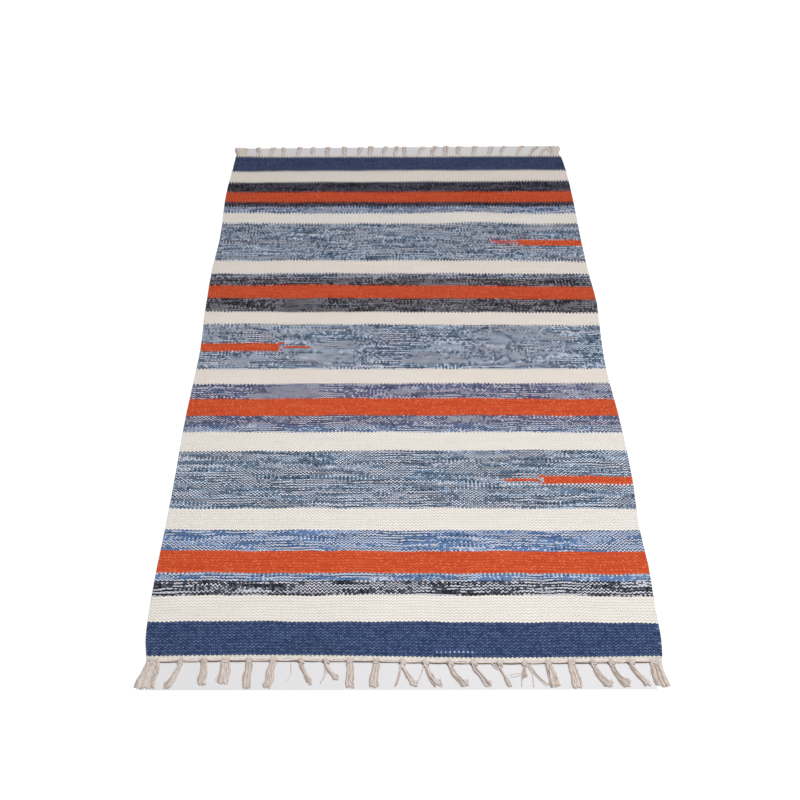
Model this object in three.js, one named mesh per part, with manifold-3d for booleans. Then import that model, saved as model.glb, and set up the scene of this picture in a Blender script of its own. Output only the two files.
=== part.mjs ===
// A flat-woven cotton kilim rug with striped field and knotted fringes, lying on a floor.
// Millimetres. X runs across the rug, Y along its warps, Z up. The origin is on the floor,
// under the middle of the rug.
import * as THREE from 'three';
import { mergeVertices } from 'three/addons/utils/BufferGeometryUtils.js';
import Module from 'manifold-3d';

const wasm = await Module();
wasm.setup();

// The cloth.
const CLOTH_THICKNESS = 3;
const CORNER_CLEARANCE = 1; // along Y, from a corner to the nearest point of its selvedge
const SIDE_POINTS = 48; // along each selvedge
const END_POINTS = 24; // along each end of the field

// The fringe, from the last weft outwards.
const FRINGE_GAP = 0.3; // between the last weft and the gathered cord
const CORD_WIDTH = 8; // the warp ends gathered along the edge
const CORD_HEIGHT = 5.6;
const CORD_INSET = 3; // how far the cord stops short of the selvedges
const KNOT = { width: 16, length: 12, height: 8 };
const KNOT_SETBACK = 2; // the knots sit this far beyond the cord's middle
const KNOT_SIDES = 8;
const KNOT_RINGS = 4;
const NECK_WIDTH = 8; // a tassel where it leaves its knot
const TASSEL_HEIGHT = 4.4;
const TIP_ROUNDING = 0.3; // share of its width by which a tassel's tip bulges
const BEND_SHARE = 0.42; // how far a tassel has swung towards its tip at half its length
const EDGE_ROUNDING = 0.8; // bevel on cords and tassels
const CURVE_STEPS = 3; // straight steps in each curve of a tassel's outline

// Where the two selvedges run: x of the left and right edge at points along the rug.
const SELVEDGES = [
  { y: -750, left: -440, right: 441 },
  { y: -715, left: -447.5, right: 445.5 },
  { y: -655, left: -450.5, right: 446 },
  { y: -565, left: -451, right: 449 },
  { y: -470, left: -449, right: 446.5 },
  { y: -355, left: -449, right: 452.5 },
  { y: -200, left: -450, right: 451 },
  { y: -70, left: -446.5, right: 444.5 },
  { y: 20, left: -446, right: 446 },
  { y: 110, left: -450.5, right: 451 },
  { y: 170, left: -452, right: 453.5 },
  { y: 275, left: -453, right: 448.5 },
  { y: 410, left: -448.5, right: 446.5 },
  { y: 575, left: -453.5, right: 447 },
  { y: 695, left: -448.5, right: 443.5 },
  { y: 755, left: -446, right: 438 },
];

// Where the first and last wefts run: y of the near and far end at points across the rug.
const ENDS = [
  { x: -460, near: -748, far: 750 },
  { x: -300, near: -745.5, far: 749.5 },
  { x: -100, near: -746.5, far: 751 },
  { x: 60, near: -750, far: 751.5 },
  { x: 200, near: -751, far: 754.5 },
  { x: 460, near: -748.5, far: 755 },
];

// Tassels from left to right. at: x of the knot. tip: x where the tassel ends.
// reach: how far from the rug's middle it ends, along Y. width: across the tip.
const NEAR_TASSELS = [
  { at: -428, tip: -436, reach: 809, width: 27 },
  { at: -380, tip: -395, reach: 807, width: 10 },
  { at: -339, tip: -338, reach: 801, width: 13 },
  { at: -303, tip: -302, reach: 798, width: 17 },
  { at: -263, tip: -263, reach: 808, width: 13 },
  { at: -222, tip: -227, reach: 807, width: 17 },
  { at: -175, tip: -158, reach: 800, width: 9 },
  { at: -133, tip: -114, reach: 795, width: 9 },
  { at: -92, tip: -90, reach: 809, width: 14 },
  { at: -47, tip: -51, reach: 808, width: 15 },
  { at: -3, tip: 18, reach: 804, width: 10 },
  { at: 36, tip: 55, reach: 804, width: 11 },
  { at: 78, tip: 102, reach: 805, width: 11 },
  { at: 118, tip: 139, reach: 805, width: 11 },
  { at: 162, tip: 177, reach: 806, width: 8 },
  { at: 205, tip: 217, reach: 804, width: 16 },
  { at: 246, tip: 252, reach: 807, width: 16 },
  { at: 285, tip: 290, reach: 808, width: 16 },
  { at: 321, tip: 343, reach: 806, width: 11 },
  { at: 352, tip: 373, reach: 806, width: 10 },
  { at: 386, tip: 408, reach: 805, width: 10 },
  { at: 425, tip: 435, reach: 806, width: 22 },
];
const FAR_TASSELS = [
  { at: -428, tip: -433, reach: 797, width: 31 },
  { at: -381, tip: -387, reach: 799, width: 14 },
  { at: -351, tip: -346, reach: 800, width: 15 },
  { at: -316, tip: -319, reach: 799, width: 10 },
  { at: -277, tip: -273, reach: 801, width: 14 },
  { at: -236, tip: -236, reach: 802, width: 12 },
  { at: -197, tip: -196, reach: 803, width: 12 },
  { at: -149, tip: -151, reach: 803, width: 13 },
  { at: -112, tip: -107, reach: 803, width: 11 },
  { at: -81, tip: -79, reach: 806, width: 14 },
  { at: -44, tip: -38, reach: 806, width: 11 },
  { at: -14, tip: -7, reach: 806, width: 11 },
  { at: 13, tip: 14, reach: 805, width: 13 },
  { at: 51, tip: 66, reach: 805, width: 13 },
  { at: 89, tip: 99, reach: 807, width: 15 },
  { at: 124, tip: 128, reach: 809, width: 15 },
  { at: 161, tip: 165, reach: 808, width: 17 },
  { at: 200, tip: 208, reach: 809, width: 15 },
  { at: 243, tip: 252, reach: 809, width: 13 },
  { at: 277, tip: 288, reach: 809, width: 12 },
  { at: 319, tip: 338, reach: 809, width: 12 },
  { at: 355, tip: 377, reach: 808, width: 11 },
  { at: 384, tip: 404, reach: 803, width: 11 },
  { at: 424, tip: 427, reach: 809, width: 22 },
];

const DYED_COTTON = { color: 0x8490a4, roughness: 0.92, metalness: 0 };
const RAW_COTTON = { color: 0xd8c9bc, roughness: 0.95, metalness: 0 };

// A smooth curve through the rows of a table, as evenly parted points.
function curveThrough(rows, toPoint, count) {
  const curve = new THREE.SplineCurve(rows.map((row) => new THREE.Vector2(...toPoint(row))));
  return curve.getSpacedPoints(count);
}

// The y of an end of the field at one x, from the evenly parted points of its curve.
function yAt(points, x) {
  const next = points.findIndex((point, i) => i > 0 && point.x >= x);
  const [start, end] = [points[next - 1], points[next]];
  return THREE.MathUtils.mapLinear(x, start.x, end.x, start.y, end.y);
}

const LEFT_SELVEDGE = curveThrough(SELVEDGES, (row) => [row.left, row.y], SIDE_POINTS);
const RIGHT_SELVEDGE = curveThrough(SELVEDGES, (row) => [row.right, row.y], SIDE_POINTS);
const NEAR_END = curveThrough(ENDS, (row) => [row.x, row.near], END_POINTS);
const FAR_END = curveThrough(ENDS, (row) => [row.x, row.far], END_POINTS);

const nearEndAt = (x) => yAt(NEAR_END, x);
const farEndAt = (x) => yAt(FAR_END, x);
const NEAR_CORNERS = SELVEDGES[0];
const FAR_CORNERS = SELVEDGES[SELVEDGES.length - 1];

// Points on one end of the field, from fromX to toX, moved by shift along Y.
function alongEnd(endAt, fromX, toX, shift = 0) {
  return Array.from({ length: END_POINTS + 1 }, (_, i) => {
    const x = THREE.MathUtils.lerp(fromX, toX, i / END_POINTS);
    return new THREE.Vector2(x, endAt(x) + shift);
  });
}

// The cloth's outline once round, anticlockwise: near end, right selvedge, far end, left selvedge.
function clothOutline() {
  const betweenEnds = ({ x, y }) =>
    y > nearEndAt(x) + CORNER_CLEARANCE && y < farEndAt(x) - CORNER_CLEARANCE;
  return [
    ...alongEnd(nearEndAt, NEAR_CORNERS.left, NEAR_CORNERS.right),
    ...RIGHT_SELVEDGE.filter(betweenEnds),
    ...alongEnd(farEndAt, FAR_CORNERS.right, FAR_CORNERS.left),
    ...LEFT_SELVEDGE.filter(betweenEnds).reverse(),
  ];
}

function flatExtrusion(outline, height, rounding) {
  const geometry = new THREE.ExtrudeGeometry(new THREE.Shape(outline), {
    depth: height - 2 * rounding,
    bevelEnabled: rounding > 0,
    bevelThickness: rounding,
    bevelSize: rounding,
    bevelOffset: -rounding,
    bevelSegments: 1,
  });
  geometry.translate(0, 0, rounding);
  return geometry;
}

function toSolid(geometry) {
  const bare = geometry.clone();
  bare.deleteAttribute('normal');
  bare.deleteAttribute('uv');
  const merged = mergeVertices(bare, 1e-4);
  return new wasm.Manifold(
    new wasm.Mesh({
      numProp: 3,
      vertProperties: new Float32Array(merged.attributes.position.array),
      triVerts: new Uint32Array(merged.index.array),
    }),
  );
}

function toGeometry(solid) {
  const mesh = solid.getMesh();
  const geometry = new THREE.BufferGeometry();
  geometry.setAttribute('position', new THREE.BufferAttribute(mesh.vertProperties, 3));
  geometry.setIndex(new THREE.BufferAttribute(mesh.triVerts, 1));
  geometry.computeVertexNormals();
  return geometry;
}

// The cord of gathered warps along one end. side is -1 at the near end and 1 at the far end.
function gatheredCord(endAt, side, corners) {
  const fromX = corners.left + CORD_INSET;
  const toX = corners.right - CORD_INSET;
  const inner = alongEnd(endAt, fromX, toX, side * FRINGE_GAP);
  const outer = alongEnd(endAt, toX, fromX, side * (FRINGE_GAP + CORD_WIDTH));
  return toSolid(flatExtrusion([...inner, ...outer], CORD_HEIGHT, EDGE_ROUNDING));
}

function knot(x, y) {
  const ball = new THREE.SphereGeometry(0.5, KNOT_SIDES, KNOT_RINGS);
  ball.rotateX(Math.PI / 2);
  ball.scale(KNOT.width, KNOT.length, KNOT.height);
  ball.computeBoundingBox();
  ball.translate(x, y, -ball.boundingBox.min.z);
  return toSolid(ball);
}

// A tassel lying flat: it widens along soft curves from its knot to a round-ended tip.
function tassel({ at, tip, reach, width }, knotY, side) {
  const tipY = side * reach;
  const shoulderY = tipY - side * width * TIP_ROUNDING;
  const bendY = (knotY + shoulderY) / 2;
  const bendX = THREE.MathUtils.lerp(at, tip, BEND_SHARE);
  const bendWidth = (NECK_WIDTH + width) / 2;
  const outline = new THREE.Shape();
  outline.moveTo(at - NECK_WIDTH / 2, knotY);
  outline.quadraticCurveTo(bendX - bendWidth / 2, bendY, tip - width / 2, shoulderY);
  outline.quadraticCurveTo(tip, 2 * tipY - shoulderY, tip + width / 2, shoulderY);
  outline.quadraticCurveTo(bendX + bendWidth / 2, bendY, at + NECK_WIDTH / 2, knotY);
  return toSolid(flatExtrusion(outline.getPoints(CURVE_STEPS), TASSEL_HEIGHT, EDGE_ROUNDING));
}

// One comb: the gathered cord with a knot and a tassel for each row of the table.
function fringe(tassels, endAt, side, corners) {
  let comb = gatheredCord(endAt, side, corners);
  for (const row of tassels) {
    const cordMiddle = endAt(row.at) + side * (FRINGE_GAP + CORD_WIDTH / 2);
    const knotY = cordMiddle + side * KNOT_SETBACK;
    comb = comb.add(knot(row.at, knotY)).add(tassel(row, knotY, side));
  }
  return toGeometry(comb);
}

function namedMesh(name, geometry, finish) {
  const mesh = new THREE.Mesh(geometry, new THREE.MeshStandardMaterial(finish));
  mesh.name = name;
  return mesh;
}

const rug = new THREE.Group();
rug.add(
  namedMesh('woven_field', flatExtrusion(clothOutline(), CLOTH_THICKNESS, 0), DYED_COTTON),
  namedMesh('near_fringe', fringe(NEAR_TASSELS, nearEndAt, -1, NEAR_CORNERS), RAW_COTTON),
  namedMesh('far_fringe', fringe(FAR_TASSELS, farEndAt, 1, FAR_CORNERS), RAW_COTTON),
);

export default rug;
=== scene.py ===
"""Looks of a flat-woven cotton kilim rug with knotted fringes, lying on a white floor.

The tables are in millimetres: X across the rug, Y along its warps and away from the camera,
Z up. "Near" is the end towards the camera and "far" the other one.
Loom coordinates: u counts warps from the left selvedge, v counts picks from the near end.
"""

import math
import random
from collections import namedtuple

import bmesh
import bpy
import numpy as np
from mathutils import Matrix, Vector


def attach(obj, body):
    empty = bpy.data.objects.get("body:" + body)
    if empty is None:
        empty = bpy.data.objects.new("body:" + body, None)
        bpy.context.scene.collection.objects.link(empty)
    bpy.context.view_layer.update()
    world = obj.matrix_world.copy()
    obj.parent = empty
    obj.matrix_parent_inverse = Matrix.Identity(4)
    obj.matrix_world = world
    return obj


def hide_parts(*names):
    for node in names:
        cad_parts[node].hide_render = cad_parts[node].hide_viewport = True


MM = 0.001

# ---------------- the cloth

WARPS = 232
PICK_PITCH = 3.1
CLOTH_THICKNESS = 2.6  # at the valleys between warps
RIB_HEIGHT = 0.4  # how far each warp's crest stands above those valleys
COLUMNS_PER_WARP = 4
UNDERSIDE_STEPS = 29
HEADING_START = 0.35  # the pick where the heading begins
PICKS_PER_ROW = 5.2  # rows of the mesh are this many picks apart
EDGE_ROWS_PER_ROW = 6  # finer rows along the selvedges, a weft's turn every two
SELVEDGE_BULGE = 0.5  # the rounded edge, outwards
SELVEDGE_SCALLOP = 0.8  # how much further out each turn of the weft stands
SELVEDGE_STEPS = 4
SELVEDGE_WARPS = 0.12  # of loom coordinate for each step round the edge
LEFT_INSET = 2.9  # the photographed left edge is this far inside the CAD outline
SWELL_HEIGHT = 0.5  # of the low swells in the cloth as it lies
CORNER_REACH = 70
CornerLift = namedtuple("CornerLift", "x y rise")
CORNER_LIFTS = [
    CornerLift(-445, -750, 0.8),
    CornerLift(440, -750, 0.5),
    CornerLift(-446, 752, 1.2),
    CornerLift(438, 755, 0.8),
]

# Which points of the CAD outline are a selvedge's, by |x|, and which are an end's, by y.
SIDE_FROM = 430
NEAR_END_TO, FAR_END_FROM = -735, 740
FIRST_STRIPE_AT = -748  # y of the near end in the middle
FIRST_STRIPE_PICK = 2  # the picks before it are the heading's

# Picks don't run quite straight. Each wave has its height and its lengths in x and in picks.
Wave = namedtuple("Wave", "height across along phase")
PICK_WAVES = [Wave(0.7, 47, 18, 0), Wave(0.5, 21, -29, 1.3), Wave(0.35, 11.3, 7.2, 0.6)]
WAVES_FULL_AT = 10  # picks from either end

# Each yarn's strands are dark, mid or light, in these shares. Relief is how dark the painted shade in
# the hollows between its floats is. The last two columns are a painted highlight on the crowns of a
# share of the floats of some yarns, and that share.
YARN_COLUMNS = "name dark mid light dark_share light_share relief speck speck_share"
Yarn = namedtuple("Yarn", YARN_COLUMNS, defaults=[(0, 0, 0), 0.0])
YARNS = [
    Yarn("heading", (214, 209, 202), (228, 223, 216), (236, 232, 226), 0.2, 0.4, 0.3),
    Yarn("navy", (38, 53, 88), (43, 59, 97), (50, 68, 107), 0.25, 0.3, 0.65, (112, 134, 170), 1.0),
    Yarn("cream", (228, 221, 213), (232, 226, 219), (236, 231, 224), 0.2, 0.4, 0.3),
    Yarn("ecru", (227, 217, 208), (231, 222, 213), (235, 227, 218), 0.2, 0.4, 0.3),
    Yarn("orange", (194, 69, 34), (203, 77, 40), (214, 89, 50), 0.25, 0.3, 0.36, (238, 140, 92), 0.3),
    # The orange made a little darker, for the orange stripes in the far half.
    Yarn("rust", (186, 66, 35), (196, 75, 42), (206, 86, 51), 0.25, 0.3, 0.4, (222, 118, 78), 0.4),
    Yarn("black_white", (36, 36, 46), (90, 92, 104), (200, 201, 212), 0.47, 0.32, 0.5),
    Yarn("blue", (66, 86, 120), (100, 130, 174), (194, 200, 216), 0.27, 0.35, 0.5),
    Yarn("grey_blue", (66, 77, 94), (112, 130, 153), (190, 196, 209), 0.31, 0.35, 0.85),
    Yarn("violet", (70, 73, 98), (106, 110, 141), (186, 184, 197), 0.33, 0.31, 0.85),
    Yarn("indigo", (72, 84, 112), (105, 127, 164), (188, 194, 209), 0.29, 0.35, 0.8),
    Yarn("charcoal", (34, 33, 38), (76, 74, 82), (140, 138, 147), 0.38, 0.27, 0.9),
    Yarn("steel", (54, 58, 72), (98, 103, 124), (178, 182, 197), 0.34, 0.3, 0.9),
    Yarn("dark", (34, 29, 38), (58, 51, 61), (94, 88, 100), 0.44, 0.22, 0.7, (120, 120, 130), 0.15),
    Yarn("midnight", (28, 26, 38), (48, 46, 60), (94, 92, 106), 0.41, 0.25, 0.7, (120, 124, 140), 0.15),
    Yarn("ink", (46, 57, 88), (54, 66, 99), (64, 77, 112), 0.25, 0.3, 0.6, (104, 118, 148), 0.3),
    Yarn("pale", (160, 163, 175), (200, 202, 209), (220, 221, 226), 0.25, 0.4, 0.4),
    Yarn("mist", (140, 146, 160), (170, 175, 187), (200, 203, 212), 0.25, 0.4, 0.4),
    Yarn("sky", (84, 104, 144), (118, 138, 176), (156, 172, 200), 0.3, 0.3, 0.5),
]
YARN_NUMBER = {yarn.name: i for i, yarn in enumerate(YARNS)}

# Stripes from near to far, with the y of each one's far edge at the left, the middle and the right.
Stripe = namedtuple("Stripe", "yarn left middle right")
STRIPES = [
    Stripe("navy", -680, -681.5, -685),
    Stripe("cream", -629, -627.5, -631),
    Stripe("black_white", -597, -597, -598),
    Stripe("blue", -579.5, -581, -583.5),
    Stripe("orange", -531, -533, -534.5),
    Stripe("blue", -484.5, -486.5, -487),
    Stripe("cream", -435, -434, -436.5),
    Stripe("grey_blue", -293, -290, -288.5),
    Stripe("cream", -241, -240, -241.5),
    Stripe("indigo", -225, -223, -224),
    Stripe("violet", -197, -194, -195),
    Stripe("orange", -149, -145, -149),
    Stripe("violet", -105, -102, -101),
    Stripe("ecru", -59, -58, -57),
    Stripe("grey_blue", 85, 83, 81),
    Stripe("ecru", 125.5, 125.5, 123.5),
    Stripe("charcoal", 172, 173, 169),
    Stripe("rust", 217, 219, 214),
    Stripe("charcoal", 245, 246, 245),
    Stripe("steel", 260.5, 262.5, 261),
    Stripe("ecru", 309.5, 310.5, 307),
    Stripe("grey_blue", 457, 456, 457.5),
    Stripe("cream", 500, 498.5, 500.5),
    Stripe("indigo", 526, 527.5, 532),
    Stripe("dark", 546, 548, 549.5),
    Stripe("rust", 588.5, 592, 596),
    Stripe("midnight", 632, 637, 643),
    Stripe("ecru", 681, 688, 691),
    Stripe("ink", 750, 751, 755),
]
STRIPE_REACH = 450  # left and right mean this far from the middle

# Places where the far edge of a stripe, counted from 0, bulges away from the camera.
Bulge = namedtuple("Bulge", "stripe x rise half_width")
BULGES = [
    Bulge(17, -220, 3, 60),
    Bulge(20, 210, 5, 60),
    Bulge(21, 200, 7, 70),
    Bulge(22, 150, 8, 90),
]

# Blocks and lines of another yarn laid in within a stripe.
Inlay = namedtuple("Inlay", "yarn x_from x_to y_from y_to")
INLAYS = [
    Inlay("orange", 276, 460, -373, -355),
    Inlay("orange", 269, 276, -356, -354),
    Inlay("orange", 267, 276, -373, -372),
    Inlay("pale", 272, 276, -367, -359),
    Inlay("orange", 198, 268, -366, -364),
    Inlay("pale", 190, 460, -376, -375),
    Inlay("mist", 271, 274, -350, -333),
    Inlay("orange", -460, -271, -1, 20),
    Inlay("orange", -271, -262, 21, 23),
    Inlay("orange", -271, -264, 1, 3),
    Inlay("orange", -260, -203, 10, 12),
    Inlay("mist", -269, -264, 6, 9),
    Inlay("orange", 292, 460, 372, 389),
    Inlay("orange", 284, 292, 388, 391),
    Inlay("orange", 282, 292, 370, 372),
    Inlay("orange", 216, 284, 386, 387),
    Inlay("orange", 228, 284, 379, 380),
    Inlay("sky", 52, 120, -740, -740),
    Inlay("sky", 436, 446, -697, -697),
    Inlay("sky", 434, 444, -725, -724),
    Inlay("mist", -460, 460, -583, -583),
]

STRANDS = 2  # in each row of floats, which is two picks tall
FLOAT_SWELL = 0.27  # how far a float's side bulges into the next column, in warps
BUMP_DEPTH = 0.0007
RIDGE_HEIGHT = 0.25  # of a strand, against a float's dome
PAINTED_RELIEF_CONTRAST = 1.3  # how much darker the painted shade in a hollow is than the painted light on a float's crown
# the crown level above which the painted relief shading is lighter, and below which it is darker
MEAN_CROWN = 0.45
GROOVE_SHADE = 0.25  # how much darker the painted shade in the groove between two strands is
PICK_SHADE = 0.03  # how much whole picks differ
# the most that a painted highlight covers a float's crown
CROWN_HIGHLIGHT_STRENGTH = 0.45
OWN_DRAW, PICK_DRAW = 5.0, 3.0  # keep the draws for a float and for a pick apart
WARM_TINT = (1.045, 0.985, 0.96, 1)
COOL_TINT = (0.95, 1.015, 1.045, 1)
TINT_STRENGTH = 1.4

# What changes from the near end to the far one: the picks between which it does, and its values.
Growth = namedtuple("Growth", "from_pick to_pick near far")
CRIMP_DEPTH = Growth(60.0, 480.0, -0.27, -1.45)  # of the wave in a row of floats, in picks
SWING_GROWTH = Growth(100.0, 480.0, 1.0, 2.2)
OWN_LEVEL = Growth(100.0, 240.0, 0.1, 0.52)  # how far a float's level is its own

# What drifts over the cloth: smooth noise, how fast it changes for each warp and for each pick or
# strand, where it starts, and the values it gives, least to most, as it goes from low to high.
Drift = namedtuple("Drift", "per_warp per_pick start detail low high least most")
SWING = Drift(0.03, 0.06, 60.0, 0.0, 0.3, 0.6, -0.1, -0.6)  # of strands over the warps, in picks
SLIP = Drift(0.13, 0.27, 0.0, 0.0, 0.2, 0.8, -0.4, 0.4)  # of strands out of line, in picks
RUN = Drift(0.045, 5.37, 0.0, 1.0, 0.28, 0.72, 0.0, 0.65)  # a strand's level along its way
TURNS = Drift(0.6, 3.19, 0.0, 0.0, 0.25, 0.75, 0.0, 0.35)  # its level from float to float
ZIGZAG = Drift(0.025, 0.14, 80.0, 0.0, 0.3, 0.6, 0.25, 0.7)
BARS = Drift(0.03, 0.15, 40.0, 0.0, 0.66, 0.76, 0.0, 0.45)
TINT = Drift(0.02, 0.25, 7.0, 0.0, 0.3, 0.7, 0.0, 1.0)
PATCH = Drift(0.021, 0.115, 0.0, 2.0, 0.25, 0.75, -0.05, 0.05)

# ---------------- the fringes

YARN_RADIUS = 1.35
HEADING_TONE = 0.05
WHITE_TONE = 0.1  # tones below this are the whiter yarn of the heading and of the far fringe
PAINTED_SHADOW_TONE = 1.4  # tones above 1 mix towards painted shade, and this one, the darkest, is that of the painted shadow yarns in the creases
SHADED_SIDE_TONE = 1.12  # painted shade: of the yarn along a tassel's left side, away from the light, and of a few more
# the share of a tassel's other yarns that get that painted shade, for the shade between yarns
SHADED_YARN_SHARE = 0.1
HEADING_AT, HEADING_HEIGHT, HEADING_RADIUS = 3.2, 2.2, 1.4
# of the dark yarns that are painted shadow in the creases
CREASE_SHADOW_RADIUS = 0.75
GATHERED_RADIUS = 1.15
CordYarn = namedtuple("CordYarn", "distance height radius")
CORD_YARNS = [CordYarn(5.6, 2.3, 1.3), CordYarn(7.7, 1.9, 1.3)]
KNOT_AT = 7.4  # from the last pick to a knot's first turn
KNOT_REACH = 760  # of the knots from the middle of the rug
KNOT_HALF_WIDTH, KNOT_YARN_WIDTH = 3.4, 0.36  # of a knot with no yarns, and what each yarn adds
KNOT_SPACING = 2.6
KNOT_TURNS = 3
KNOT_YARN_RADIUS = 1.4
KNOT_HEIGHT = 2.5  # half a turn's height
TAIL_START = 13.8
NECK_SHARE, LEAST_NECK = 0.78, 0.45  # a tassel's width under its knot, as a share of its tip's
NECK_LOSS = 0.016  # of that share, for each millimetre that the tassel leans
BELLY_SHARE = 0.1  # how much wider a tassel is half way
SHORT_BY = 5  # yarns end at most this far short of their tassel's reach
SWAY = 0.8  # a tassel's sideways waves
BEND_SHARE = 0.46  # how far a tassel has swung towards its tip at half its length
TAIL_SHARES = (0.1, 0.25, 0.42, 0.6, 0.8, 1.0)
FRAYS, FRAY_RADIUS = 3, 0.3  # loose fibres at each yarn's tip

# at: x of the knot. tip: x where the tassel ends. reach: its end's distance from the middle.
# width: across the tip. yarns: how many.
Tassel = namedtuple("Tassel", "at tip reach width yarns")
NEAR_TASSELS = [
    Tassel(-425.5, -433, 809, 33, 12),
    Tassel(-378, -395, 807, 12, 6),
    Tassel(-339, -339, 801, 13, 6),
    Tassel(-303, -303, 799, 18, 8),
    Tassel(-263, -263, 808, 13, 7),
    Tassel(-222, -228, 807, 14, 7),
    Tassel(-175, -157, 800, 8, 5),
    Tassel(-133, -113, 793, 8, 5),
    Tassel(-92, -91, 808, 13, 7),
    Tassel(-47, -51, 808, 14, 7),
    Tassel(-3, 17, 804, 11, 5),
    Tassel(36, 57, 804, 12, 6),
    Tassel(78, 103, 805, 12, 6),
    Tassel(118, 141, 805, 12, 6),
    Tassel(162, 177, 805, 6, 4),
    Tassel(205, 203, 790, 5, 2),
    Tassel(246, 253, 806, 16, 7),
    Tassel(285, 290, 808, 16, 8),
    Tassel(321, 343, 805, 13, 6),
    Tassel(352, 374, 805, 12, 6),
    Tassel(386, 409, 804, 12, 6),
    Tassel(426, 434, 806, 23, 10),
]
FAR_TASSELS = [
    Tassel(-430, -432, 797, 35, 14),
    Tassel(-381, -387, 799, 13, 6),
    Tassel(-351, -346, 800, 14, 6),
    Tassel(-316, -319, 799, 10, 5),
    Tassel(-277, -273, 801, 13, 6),
    Tassel(-236, -236, 802, 12, 6),
    Tassel(-197, -196, 803, 12, 6),
    Tassel(-149, -151, 803, 13, 6),
    Tassel(-112, -107, 803, 11, 5),
    Tassel(-81, -79, 806, 14, 6),
    Tassel(-44, -38, 806, 11, 5),
    Tassel(-14, -7, 806, 11, 5),
    Tassel(13, 14, 805, 13, 6),
    Tassel(51, 66, 805, 12, 6),
    Tassel(89, 99, 807, 14, 7),
    Tassel(124, 128, 809, 14, 7),
    Tassel(161, 165, 808, 16, 7),
    Tassel(200, 208, 809, 14, 6),
    Tassel(243, 252, 809, 13, 6),
    Tassel(277, 288, 809, 12, 6),
    Tassel(319, 338, 809, 12, 6),
    Tassel(355, 377, 808, 11, 5),
    Tassel(384, 404, 803, 11, 5),
    Tassel(424, 426, 809, 26, 11),
]

# Single yarns that have come loose from a tassel: three points each. Those that start nearer
# the middle of the rug than EDGE_REACH come out from under the knots.
EDGE_REACH = 770
Stray = namedtuple("Stray", "x0 y0 x1 y1 x2 y2 radius")
NEAR_STRAYS = [
    Stray(-307, -766, -312, -781, -318, -792, 0.6),
    Stray(-192, -762, -190, -780, -197, -793, 0.7),
    Stray(-170, -768, -168, -784, -163, -796, 0.6),
    Stray(-134, -764, -134, -782, -140, -797, 0.9),
    Stray(-131, -762, -131, -778, -136, -790, 0.7),
    Stray(-5, -764, -9, -783, -15, -803, 1.2),
    Stray(-4, -766, -7, -784, -12, -801, 1.0),
    Stray(34, -766, 28, -784, 22, -798, 0.7),
    Stray(149, -761, 157, -771, 168, -768, 1.2),
    Stray(155, -763, 159, -768, 166, -766, 1.0),
    Stray(178, -783, 191, -780, 205, -781, 0.5),
    Stray(180, -787, 190, -785, 202, -783, 0.5),
    Stray(206, -764, 200, -778, 197, -804, 0.8),
    Stray(208, -766, 205, -776, 206, -786, 0.7),
    Stray(211, -766, 217, -783, 217, -804, 1.0),
    Stray(213, -764, 226, -784, 242, -801, 1.1),
    Stray(211, -765, 223, -785, 239, -803, 0.9),
    Stray(13, -801, 16, -795, 20, -799, 0.8),
    Stray(249, -768, 257, -786, 262, -802, 1.1),
    Stray(334, -786, 346, -794, 353, -796, 0.5),
    Stray(364, -786, 376, -790, 382, -795, 0.5),
    Stray(438, -752, 438, -775, 444, -799, 1.6),
    Stray(435, -752, 436, -777, 441, -801, 1.4),
    Stray(-434, -752, -441, -776, -449, -798, 1.3),
]
FAR_STRAYS = [
    Stray(124, 766, 118, 786, 116, 799, 0.8),
    Stray(386, 764, 392, 786, 390, 800, 0.9),
    Stray(415, 764, 408, 784, 402, 800, 1.3),
    Stray(417, 764, 411, 784, 406, 798, 1.2),
]

# A short yarn that has come up out of the cloth.
STRAY_THREAD = [(52, -526, 4.2), (58, -521, 4.6), (66, -517, 4.6), (71, -512, 4.2)]
STRAY_THREAD_RADIUS = 0.7
STRAY_THREAD_TONE = 0.2

# ---------------- the photograph's camera

CAMERA_AT = (-0.01955, -1.61118, 1.5674)
CAMERA_PITCH = 0.819607
CAMERA_YAW = 0.010945
CAMERA_ROLL = 0.0083796
CAMERA_LENS, CAMERA_SENSOR = 45.7, 36


def linear(colour):
    """A colour as it shows, 0 to 255, as the linear RGBA that a shader takes."""
    shares = [value / 255 for value in colour]
    return tuple(s / 12.92 if s <= 0.04045 else ((s + 0.055) / 1.055) ** 2.4 for s in shares) + (1,)


# ---------------- shader wiring


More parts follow.
